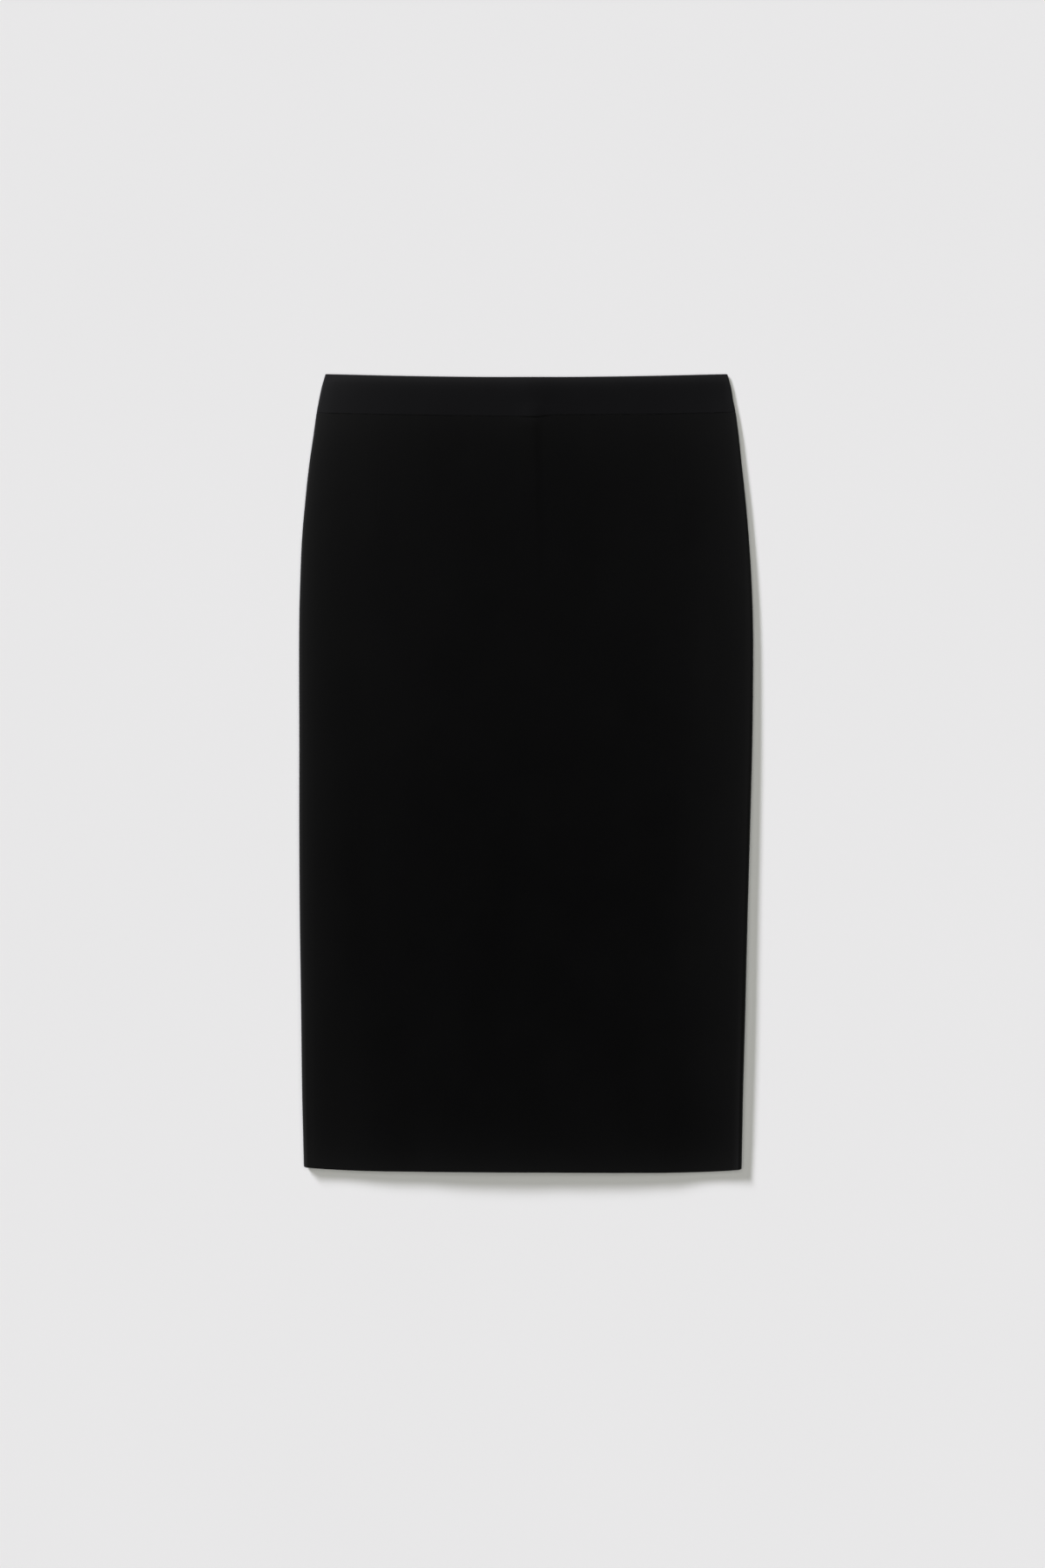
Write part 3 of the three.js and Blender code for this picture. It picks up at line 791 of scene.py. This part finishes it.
def hard_black(name, colour, ior, level, low, high):
    material, tree, shader = new_material(name, IOR=ior, Specular_IOR_Level=level)
    shader.inputs["Base Color"].default_value = linear(colour)
    fine_relief(tree, shader, 1 / GRAIN, GRAIN_RELIEF, low, high)
    return material


TAPE_KNIT = knitted_tape()
NYLON = hard_black("moulded_nylon_coil", "#0D0D0F", 1.53, 0.4, 0.35, 0.5)
ENAMEL = hard_black("baked_enamel_on_zinc_alloy", "#0C0C0D", 1.5, 0.5, 0.22, 0.36)
THREAD = hard_black("spun_polyester_thread", "#0A0A0C", 1.5, 0.12, 0.75, 0.9)
print([material.name for material in (TAPE_KNIT, NYLON, ENAMEL, THREAD)])

# %% [markdown]
# Panels
#
# The front is one piece, darts and all. The back is two, which meet at the centre-back seam. The right
# one carries the vent's underlap: extra columns past the seam that exist only below the vent's top.

# %% Front panel
def finish_piece(piece, material, slot, *nodes):
    piece.data.materials.append(material)
    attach(piece, "skirt")
    if nodes:
        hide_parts(*nodes)
    return piece


front = cloth("front", FRONT, PANEL_SECTION, FRONT_COLUMNS)
finish_piece(front, PANEL_CREPE, "crepe", "front_panel")

# %% Back panels
back_left_columns = [
    *edge_columns(beside(seam_of, SEAM_GAP / 2), 1),
    *flat_columns(beside(seam_of, SEAM_GAP / 2 + EDGE_ZONE), right_edge, 26),
    flat_column(right_edge),
    *rim_columns(1),
]
back_left = cloth("back_left", BACK, PANEL_SECTION, back_left_columns)
finish_piece(back_left, PANEL_CREPE, "crepe", "back_panel_left")

# %% Back panel with the vent's underlap
UNDERLAP_STEPS = (1.5, 4, 8, 13, 19, 26, 33, 39, 42, 44, 44.7, UNDERLAP)
UNDERLAP_SLOPE = 0.42  # fall of its top edge for each millimetre across
UNDERLAP_EASE = 60  # length over which the rows below level out
SEAM_EDGE = beside(seam_of, -SEAM_GAP / 2)
CLIMB_START = beside(seam_of, -UNDERLAP_RISE - 4)
CLIMB_END = beside(seam_of, -3.6)

back_right_columns = [
    *rim_columns(-1),
    *flat_columns(left_edge, CLIMB_START, 24),
    *flat_columns(CLIMB_START, CLIMB_END, 12),
    *edge_columns(SEAM_EDGE, -1),
]
seam_column = len(back_right_columns) - 1
for width in UNDERLAP_STEPS:
    back_right_columns.append(flat_column(beside(seam_of, width)))


def underlap_slope(section):
    """Rows by the vent's top fall with the slope of the underlap's edge, and ease out below it."""
    ease = 1 - smooth((section[:, 0] - VENT_TOP) / UNDERLAP_EASE)
    def shift(number):
        past = UNDERLAP_STEPS[number - seam_column - 1] if number > seam_column else 0
        return np.where(in_vent(section[:, 0]), past * UNDERLAP_SLOPE * ease, 0)
    return shift


vent_rows = in_vent(PANEL_SECTION[:-1, 0])
sewn_columns = np.arange(len(back_right_columns) - 1) < seam_column
back_right = cloth(
    "back_right", BACK_VENT, PANEL_SECTION, back_right_columns,
    kept=vent_rows[:, None] | sewn_columns[None, :], shift=underlap_slope(PANEL_SECTION),
)
finish_piece(back_right, PANEL_CREPE, "crepe", "back_panel_right", "vent_underlap")

# %% [markdown]
# Waistband
#
# The band is one strip folded over a stiffener, so it lies flatter than the panels and takes the light a
# little more. It stands 0.4 mm proud of the panels, and a millimetre over the end of the zip. Its ends
# meet over the zip at the back, and part round the slider's pull.

# %% Waistband
SLIDER_DOWN = 8.5
PULL_LENGTH = 18
PULL_TIP = 5  # its width
PULL_CLEARANCE = 0.45
PARTING = {
    "top": SLIDER_DOWN - 5,
    "bottom": SLIDER_DOWN + PULL_LENGTH + 2,
    "ease": 2.5,
    "half": PULL_TIP / 2 + PULL_CLEARANCE,
}
BAND_EDGE = BAND_HEIGHT - SEAM_GAP / 2
parting_downs = [
    PARTING["bottom"], PARTING["bottom"] - PARTING["ease"], PARTING["top"] + PARTING["ease"], PARTING["top"],
]
BAND_SECTION = folded_strip(
    BAND_EDGE, 0, BAND_WALL, list(zip(parting_downs, (2, 4, 6, 4))),
    [*zip(parting_downs[::-1], (1, 4, 5, 4)), (BAND_EDGE, 2)],
)
print(len(BAND_SECTION), "rows in the band")


def band_end(down):
    opening = smooth((down - PARTING["top"]) / PARTING["ease"])
    closing = smooth((PARTING["bottom"] - down) / PARTING["ease"])
    return mix(SEAM_GAP / 2, PARTING["half"], opening * closing)


def left_end(row, down):
    return row["seam"] + band_end(down)


def right_end(row, down):
    return row["seam"] - band_end(down)


band_columns = {
    "front": FRONT_COLUMNS,
    "back_left": [
        *edge_columns(left_end, 1), *flat_columns(beside(left_end, EDGE_ZONE), right_edge, 30),
        flat_column(right_edge), *rim_columns(1),
    ],
    "back_right": [
        *rim_columns(-1), *flat_columns(left_edge, beside(right_end, -EDGE_ZONE), 30),
        *edge_columns(right_end, -1),
    ],
}
for place_name, columns in band_columns.items():
    layer = BAND_FRONT if place_name == "front" else BACK
    piece = cloth("band_" + place_name, layer, BAND_SECTION, columns)
    finish_piece(piece, BAND_CREPE, "crepe", "waistband_" + place_name)

# %% [markdown]
# Zip
#
# Inside, along the back seam, each tape carries half of the coil. The two halves are the same helix, set
# half a turn apart so that the loops pass between each other. The slider and its pull keep the solid
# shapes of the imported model, with their corners eased by a small bevel.

# %% Zip tapes
ZIP_END = 217
TAPE_TOP = 3
TAPE_WIDTH = 10
TAPE_WALL = 0.5
SLOT_HALF = 1.1  # the tapes part round the neck of the slider
SLOT = (SLIDER_DOWN - 2.4, SLIDER_DOWN + 2.4)
SLOT_EASE = 0.6
STEP_DOWN = BAND_HEIGHT + 1  # the tape steps from the band down onto the thinner panel
STEP_LENGTH = 7
tape_downs = spaced(TAPE_TOP, [
    (SLOT[0] - SLOT_EASE, 2), (SLOT[0], 2), (SLOT[1], 3), (SLOT[1] + SLOT_EASE, 2),
    (STEP_DOWN, 12), (STEP_DOWN + STEP_LENGTH, 4), (ZIP_END, 70),
])


def tape_bottom(down):
    return LAYER_CLEARANCE + mix(BAND_WALL, PANEL_WALL, np.clip((down - STEP_DOWN) / STEP_LENGTH, 0, 1))


def tape_inner(down):
    before = smooth((down - SLOT[0] + SLOT_EASE) / SLOT_EASE)
    after = smooth((SLOT[1] + SLOT_EASE - down) / SLOT_EASE)
    return mix(SEAM_GAP / 2, SLOT_HALF, before * after)


# share of the way across, and how much the tape's edge is eased there
TAPE_COLUMNS = [
    (0, 0.15), (0.02, 0.04), (0.1, 0), (0.25, 0), (0.45, 0), (0.7, 0), (0.9, 0), (0.98, 0.04), (1, 0.15),
]
for side_name, side in (("left", 1), ("right", -1)):
    seam = station(tape_downs)["seam"]
    inner = tape_inner(tape_downs)
    tops, bottoms = [], []
    for share, ease in TAPE_COLUMNS:
        x = seam + side * mix(inner, TAPE_WIDTH, share)
        bottoms.append(place(x, tape_bottom(tape_downs) + ease, tape_downs))
        tops.append(place(x, tape_bottom(tape_downs) + TAPE_WALL - ease, tape_downs))
    tape = wall_mesh("tape_" + side_name, np.stack(tops, axis=1), np.stack(bottoms, axis=1), side)
    finish_piece(tape, TAPE_KNIT, "zip_tape", "zip_tape_" + side_name)
print("tape", len(tape_downs), "rows")


# %% Coil and slider
def tube(name, paths, radius, sides=5):
    """Closed round tubes along many paths of the same length, in millimetres."""
    paths = np.asarray(paths, float)
    count, steps = paths.shape[:2]
    ahead = np.gradient(paths, axis=1)
    ahead /= np.linalg.norm(ahead, axis=2, keepdims=True)
    across = np.cross(ahead, [0.0, 0.0, 1.0])
    flat = np.linalg.norm(across, axis=2, keepdims=True) < 0.05
    across = np.where(flat, np.cross(ahead, [1.0, 0.0, 0.0]), across)
    across /= np.linalg.norm(across, axis=2, keepdims=True)
    up = np.cross(across, ahead)
    turns = np.linspace(0, 2 * math.pi, sides, endpoint=False)
    ring = [math.cos(a) * across + math.sin(a) * up for a in turns]
    points = paths[:, :, None] + radius * np.stack(ring, axis=2)
    start = np.arange(count)[:, None, None] * steps * sides
    step = np.arange(steps - 1)[None, :, None] * sides
    k = np.arange(sides)[None, None, :]
    after = (k + 1) % sides
    a, b = start + step + k, start + step + after
    walls = np.stack([a, b, b + sides, a + sides], axis=-1).reshape(-1, 4)
    first = (start[:, 0] + np.arange(sides)[None, ::-1]).tolist()
    last = (start[:, 0] + (steps - 1) * sides + np.arange(sides)[None, :]).tolist()
    return mesh_object(name, points.reshape(-1, 3) * MM, walls.tolist() + first + last, crisp=None)


COIL_PITCH = 1.1
COIL_WIRE = 0.24
COIL_WIDTH = 2.0
COIL_HEIGHT = 0.9
COIL_MESH = 0.15  # the loops reach this far past the seam, between the other half's
LOOP_STEPS = 10
coil_start, coil_end = SLIDER_DOWN + 4.8, ZIP_END - 4
for side_name, side, offset in (("left", 1, 0.0), ("right", -1, 0.5)):
    turns = int((coil_end - coil_start) / COIL_PITCH)
    phase = np.linspace(0, turns, turns * LOOP_STEPS + 1)
    down = coil_start + (phase + offset) * COIL_PITCH
    swing = 2 * math.pi * phase
    across = COIL_WIDTH / 2 - COIL_MESH + (COIL_WIDTH / 2 - COIL_WIRE) * np.cos(swing)
    x = station(down)["seam"] + side * across
    z = tape_bottom(down) + TAPE_WALL + COIL_HEIGHT / 2 + (COIL_HEIGHT / 2 - COIL_WIRE) * np.sin(swing)
    coil = tube("coil_" + side_name, place(x, z, down)[None], COIL_WIRE)
    finish_piece(coil, NYLON, "zip_tape")
print(turns, "loops a side")

for node_name in ("zip_slider", "zip_pull"):
    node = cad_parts[node_name]
    node.data.materials.clear()
    node.data.materials.append(ENAMEL)
    bevel = node.modifiers.new("eased corners", "BEVEL")
    bevel.width = 0.12 * MM
    bevel.segments = 2
    bevel.limit_method = "ANGLE"

# %% [markdown]
# Stitches
#
# The thread shows only down in the seams. Each stitch is a short length of thread that dips into the
# cloth at both ends. A function lays a row of them along any line of the skirt.

# %% Stitches in the seams
STITCH = 2.6  # length of a stitch
THREAD_RADIUS = 0.11
SEAM_INSET = 0.5
DITCH = 0.6  # how deep in the seam the thread lies
DITCH_DIP = 0.12


def stitch_row(name, line, dip):
    """Stitches along a line of points in millimetres. The thread dips by dip at the end of each."""
    lengths = np.linalg.norm(np.diff(line, axis=0), axis=1)
    reach = np.concatenate([[0], np.cumsum(lengths)])
    count = int(reach[-1] / STITCH)
    shares = np.linspace(0.06, 0.94, 6)
    at = (np.arange(count)[:, None] + shares[None, :]) * STITCH
    paths = np.stack([np.interp(at, reach, line[:, k]) for k in range(3)], axis=-1)
    paths[:, :, 2] -= dip * (2 * np.abs(shares - 0.5)) ** 2
    return tube(name, paths, THREAD_RADIUS)


def across_line(layer, down, depth, steps=160):
    row = station(np.array([down], float))
    x = np.linspace(float(left_edge(row, down)[0]), float(right_edge(row, down)[0]), steps)
    downs = np.full(steps, float(down))
    return place(x, layer["height"](x, downs, depth), downs)


def down_line(find_x, height, start, end, steps=200):
    downs = np.linspace(start, end, steps)
    row = station(downs)
    x = find_x(row, downs)
    return place(x, height(x, downs, row), downs)


def side_line(side):
    def edge(row, down):
        return SEAM_INSET - row["left"] if side < 0 else row["right"] - SEAM_INSET
    return down_line(edge, lambda x, down, row: row["rim"] / 2, PANEL_TOP + 1, LENGTH - 1)


threads = {
    "waist_seam_thread": across_line(FRONT, BAND_HEIGHT, DITCH),
    "left_side_thread": side_line(-1),
    "right_side_thread": side_line(1),
    "back_seam_thread": down_line(
        seam_of, lambda x, down, row: DITCH + 0 * x, ZIP_END + 2, VENT_TOP - 10),
}
for name, line in threads.items():
    piece = stitch_row(name, line, dip=0.0 if "side" in name else DITCH_DIP)
    finish_piece(piece, THREAD, "crepe")
print(len(threads), "rows of stitches")


# %% [markdown]
# Overlocked edges
#
# The raw edge of the turned-up hem is overlocked: a thread runs back and forth over it. It shows when you
# look into the skirt from the hem.

# %% Overlocked edge of the hem
def overlock(name, layer, x_from, x_to, pitch=2.2, reach=3.5):
    """A zigzag of thread over the turned-up hem's raw edge, just clear of the cloth."""
    count = int((x_to - x_from) / pitch)
    corner = np.arange(2 * count + 1)
    x = x_from + corner * pitch / 2
    down = LENGTH - TURN_UP + np.where(corner % 2 == 0, -0.3, reach)
    fine = np.linspace(0, len(corner) - 1, (len(corner) - 1) * 3 + 1)
    x, down = np.interp(fine, corner, x), np.interp(fine, corner, down)
    depth = 2 * PANEL_WALL + THREAD_RADIUS
    path = place(x, layer["height"](x, down, depth), down)
    return tube(name, path[None], THREAD_RADIUS, sides=4)


overlocks = {
    "hem_overlock_front": overlock("hem_overlock_front", FRONT, -204, 197),
    "hem_overlock_back_right": overlock("hem_overlock_back_right", BACK, -204, -6),
    "hem_overlock_back_left": overlock("hem_overlock_back_left", BACK, 58, 197),
}
for piece in overlocks.values():
    finish_piece(piece, THREAD, "crepe")
print(len(overlocks), "overlocked edges")

# %% [markdown]
# The seam allowances are hidden, so they are left out.


# %% [markdown]
# Studio
#
# The skirt lies on a plain pale board. The light comes from the upper left, low and soft. The shadow
# tells where it is: at the right side, 10 mm high, the shadow is 12 mm wide with an 8 mm edge, while at
# the hem its edge is twice as soft. So the light is a long strip, and it is made here of three sun lamps
# in a row. A wide lamp overhead fills the shadow, a little warmer than the strip. The surround is seen by
# the camera alone, as the same pale tone.

# %% Floor
FLOOR_HALF = 40.0
FLOOR_DROP = 0.0002


def painted_board():
    material, tree, shader = new_material(
        "matt_painted_board", IOR=1.45, Specular_IOR_Level=0.0, Roughness=0.9,
    )
    where = add_node(tree, "ShaderNodeTexCoord")
    grain = add_node(tree, "ShaderNodeTexNoise", links={"Vector": (where, "Object")}, Scale=3.0, Detail=3.0)
    tone = add_node(tree, "ShaderNodeValToRGB", links={"Fac": (grain, "Fac")})
    tone.color_ramp.elements[0].color = linear("#E6E6E6")
    tone.color_ramp.elements[1].color = linear("#E8E8E8")
    tree.links.new(tone.outputs["Color"], shader.inputs["Base Color"])
    return material


corners = [(-1, -1), (1, -1), (1, 1), (-1, 1)]
floor = mesh_object(
    "floor", np.array([(x * FLOOR_HALF, y * FLOOR_HALF, -FLOOR_DROP) for x, y in corners]), [[0, 1, 2, 3]],
)
floor.data.materials.append(painted_board())
print("board", 2 * FLOOR_HALF, "m wide")

# %% Light
# reach of a shadow to the right and down, for a height of 1
STRIP = [(1.53, 1.3), (1.53, 1.65), (1.53, 2.05)]
STRIP_IRRADIANCE = 1.68  # on the floor
STRIP_COLOUR = (0.985, 0.975, 1.045)
STRIP_WIDTH = 10  # degrees
FILL_IRRADIANCE = 1.51
FILL_COLOUR = (1.01, 1.01, 0.945)
FILL_WIDTH = 70  # degrees


def sun_lamp(name, towards, strength, colour, width):
    """A sun lamp that shines along a direction. strength is its irradiance face on."""
    light = bpy.data.lights.new(name, "SUN")
    light.energy = strength
    light.color = colour
    light.angle = math.radians(width)
    lamp = bpy.data.objects.new(name, light)
    lamp.rotation_euler = mathutils.Vector(towards).to_track_quat("-Z", "Y").to_euler()
    bpy.context.scene.collection.objects.link(lamp)
    return lamp


for number, (right, down) in enumerate(STRIP):
    slant = math.hypot(right, down, 1)
    strength = STRIP_IRRADIANCE / len(STRIP) * slant
    sun_lamp(f"strip_{number}", (right, -down, -1), strength, STRIP_COLOUR, STRIP_WIDTH)
overhead = sun_lamp("overhead", (0, 0, -1), FILL_IRRADIANCE, FILL_COLOUR, FILL_WIDTH)
overhead.visible_glossy = False
print("10 mm of height throws", 10 * STRIP[1][0], "mm of shadow to the right")

world = bpy.data.worlds.new("surround")
world.use_nodes = True
sky = world.node_tree.nodes["Background"]
sky.inputs["Color"].default_value = linear("#E8E8E8")
sky.inputs["Strength"].default_value = 1.0
world.cycles_visibility.diffuse = False
world.cycles_visibility.glossy = False
bpy.context.scene.world = world
bpy.context.scene.view_settings.view_transform = "Standard"

# %% [markdown]
# Camera
#
# The camera looks straight down with a long lens. The picture is 1200 by 1800 pixels, and one pixel
# covers 0.8224 mm of the skirt, which sets how far away the camera is.

# %% Camera
PICTURE = (1200, 1800)
PIXEL = 0.8224
CAMERA_DISTANCE = 2.6
VIEW_CENTRE = (-3.45, -10.57)
OUTLINE_HEIGHT = 5  # of the widest points, where the pixel is measured
SENSOR = 36

camera_data = bpy.data.cameras.new("camera")
camera_data.sensor_fit = "VERTICAL"
camera_data.sensor_height = SENSOR
camera_data.lens = SENSOR * CAMERA_DISTANCE / (PICTURE[1] * PIXEL * MM)
camera = bpy.data.objects.new("camera", camera_data)
camera.location = (VIEW_CENTRE[0] * MM, VIEW_CENTRE[1] * MM, CAMERA_DISTANCE + OUTLINE_HEIGHT * MM)
bpy.context.scene.collection.objects.link(camera)
bpy.context.scene.camera = camera
print("lens", round(camera_data.lens, 1), "mm")
